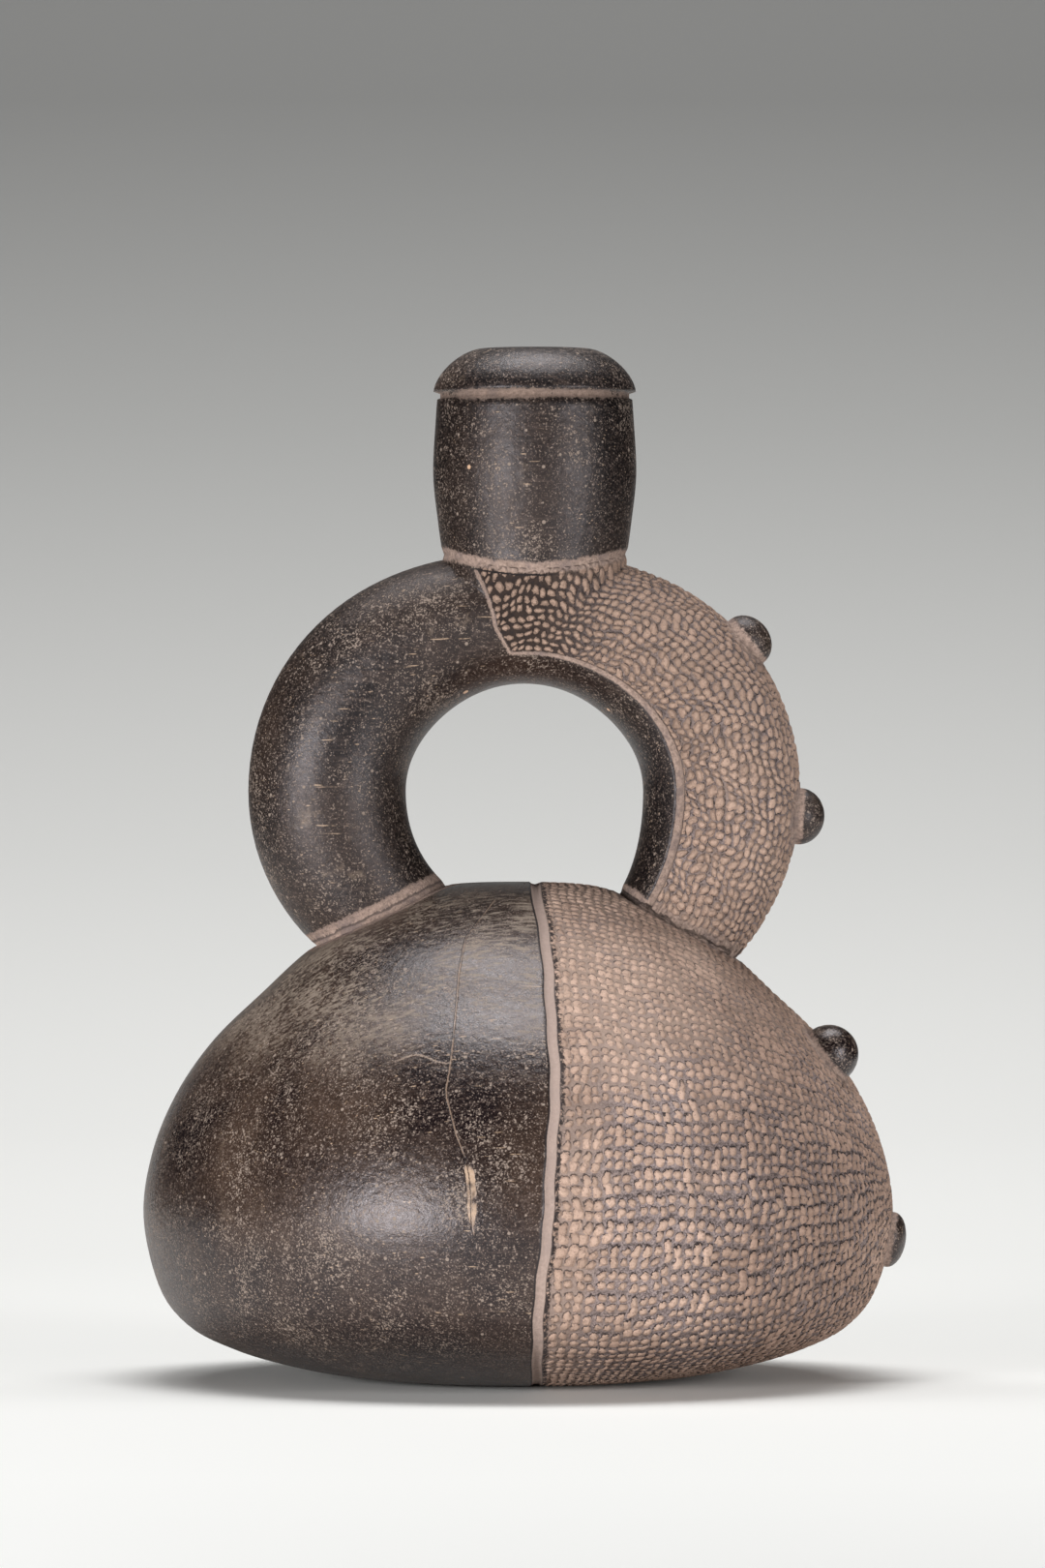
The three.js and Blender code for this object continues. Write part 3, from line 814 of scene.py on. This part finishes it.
# The shine of the burnished clay, dulled by dust and scuffs, and the fine relief of both finishes.
matt = np.maximum(stamped_share, pale)
gloss = 0.22 + 0.1 * ramp(grain, 0.3, 0.7) + 0.12 * ramp(clouds, 0.4, 0.7) + 0.14 * low
gloss = gloss + 0.3 * dust + 0.25 * scuffs + on_stirrup * 0.14
rough = gloss + (0.92 - gloss) * matt
relief = (1 - ramp(pellet, 0.55, 1.12)) * stamped_share
bumps = relief * (0.5 - body_wash * (1 - on_stirrup) * 0.22) + fine * 0.18 * matt
bumps = bumps + (fine * 0.06 + noise(2.0, 2, 0.5) * 0.14 - hair * 0.1) * (1 - matt)
bumped = clay.node("ShaderNodeBump", {}, {"Strength": 1.0, "Distance": MM, "Height": bumps})
surface = clay.node("ShaderNodeBsdfPrincipled", {}, {
    "Base Color": colours, "Roughness": rough, "Normal": bumped,
    "IOR": 1.5, "Specular Tint": (1, 0.93, 0.96, 1),
})
clay.node("ShaderNodeOutputMaterial", {}, {"Surface": surface})
vessel.data.materials.clear()
vessel.data.materials.append(finish)
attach(vessel, "root")
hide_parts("vessel")

# ---------------------------------------------------------------------------------------------
# The studio: a pale floor that curves up into a wall, with painted shade greying it with height and painted
# light brightening the floor at the front, soft boxes at the front left and front right, a weaker one
# overhead, and a camera level with the stirrup.

SWEEP_HALF_WIDTH = 0.5
SWEEP_FRONT = 0.62
SWEEP = [(0.5, 0), (0.8, 0.02), (1.05, 0.1), (1.25, 0.25), (1.38, 0.5), (1.4, 0.9), (1.4, 1.3)]

bm = bmesh.new()
floor_edge = [bm.verts.new((side, -SWEEP_FRONT, 0)) for side in (-SWEEP_HALF_WIDTH, SWEEP_HALF_WIDTH)]
rail = [bm.edges.new(floor_edge)]
for back, rise in SWEEP:
    made = bmesh.ops.extrude_edge_only(bm, edges=rail)
    rail = [item for item in made["geom"] if isinstance(item, bmesh.types.BMEdge)]
    for vert in {vert for line in rail for vert in line.verts}:
        vert.co.y = back
        vert.co.z = rise
bmesh.ops.recalc_face_normals(bm, faces=bm.faces[:])
mesh = bpy.data.meshes.new("studio_sweep")
bm.to_mesh(mesh)
bm.free()
mesh.polygons.foreach_set("use_smooth", [True] * len(mesh.polygons))
studio = bpy.data.objects.new("studio_sweep", mesh)
bpy.context.scene.collection.objects.link(studio)
paper = bpy.data.materials.new("studio_paper")
paper.use_nodes = True
tree = paper.node_tree
tree.nodes.clear()
clay = Clay(tree)
spot = clay.node("ShaderNodeTexCoord", out="Object")
_, back, up = parts(spot)
# Painted light and shade on the paper: the floor painted brighter towards the front, the wall painted darker
# grey with height.
up = ramp(up, 0.0, 0.37)
shade = mixed(ramp(-back, -0.1, 0.3), (0.86, 0.86, 0.84, 1), (0.96, 0.96, 0.94, 1))
shade = mixed(up * (1.45 - up * 0.45), shade, (0.2, 0.2, 0.195, 1))
surface = clay.node("ShaderNodeBsdfPrincipled", {}, {"Base Color": shade, "Roughness": 0.95})
clay.node("ShaderNodeOutputMaterial", {}, {"Surface": surface})
mesh.materials.append(paper)
studio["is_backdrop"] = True


def aim(thing, place):
    """Turns a lamp or the camera towards a place."""
    thing.rotation_euler = (Vector(place) - thing.location).to_track_quat("-Z", "Y").to_euler()


def softbox(name, azimuth, distance, height, towards, width, tall, power):
    """A soft box standing off the vessel at an azimuth from the front, in degrees to the right."""
    light = bpy.data.lights.new(name, "AREA")
    light.shape = "RECTANGLE"
    light.size = width
    light.size_y = tall
    light.energy = power
    lamp = bpy.data.objects.new(name, light)
    turn = math.radians(azimuth)
    lamp.location = (distance * math.sin(turn), -distance * math.cos(turn), height)
    aim(lamp, towards)
    bpy.context.scene.collection.objects.link(lamp)


softbox("left_softbox", -37, 1.15, 0.13, (0, 0, 0.1), 0.4, 0.27, 12)
softbox("right_softbox", 46, 1.15, 0.2, (0, 0, 0.13), 0.36, 0.4, 6.5)
softbox("overhead", 0, 0.0, 1.15, (0, 0, 0.1), 0.5, 0.4, 4.6)
softbox("wall_light", 180, 0.35, 1.5, (0, 1.15, 0.1), 1.6, 0.5, 19)

world = bpy.data.worlds.new("studio")
bpy.context.scene.world = world
world.use_nodes = True
world.node_tree.nodes["Background"].inputs["Color"].default_value = (0.95, 0.97, 1, 1)
world.node_tree.nodes["Background"].inputs["Strength"].default_value = 0.02

lens = bpy.data.cameras.new("camera")
lens.sensor_width = 36
lens.lens = 226.15
camera = bpy.data.objects.new("camera", lens)
camera.location = (0.97 * MM, -2.2, 145 * MM)
aim(camera, (0.97 * MM, 0, 132.8 * MM))
bpy.context.scene.collection.objects.link(camera)
bpy.context.scene.camera = camera
bpy.context.scene.view_settings.view_transform = "Standard"

low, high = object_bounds()
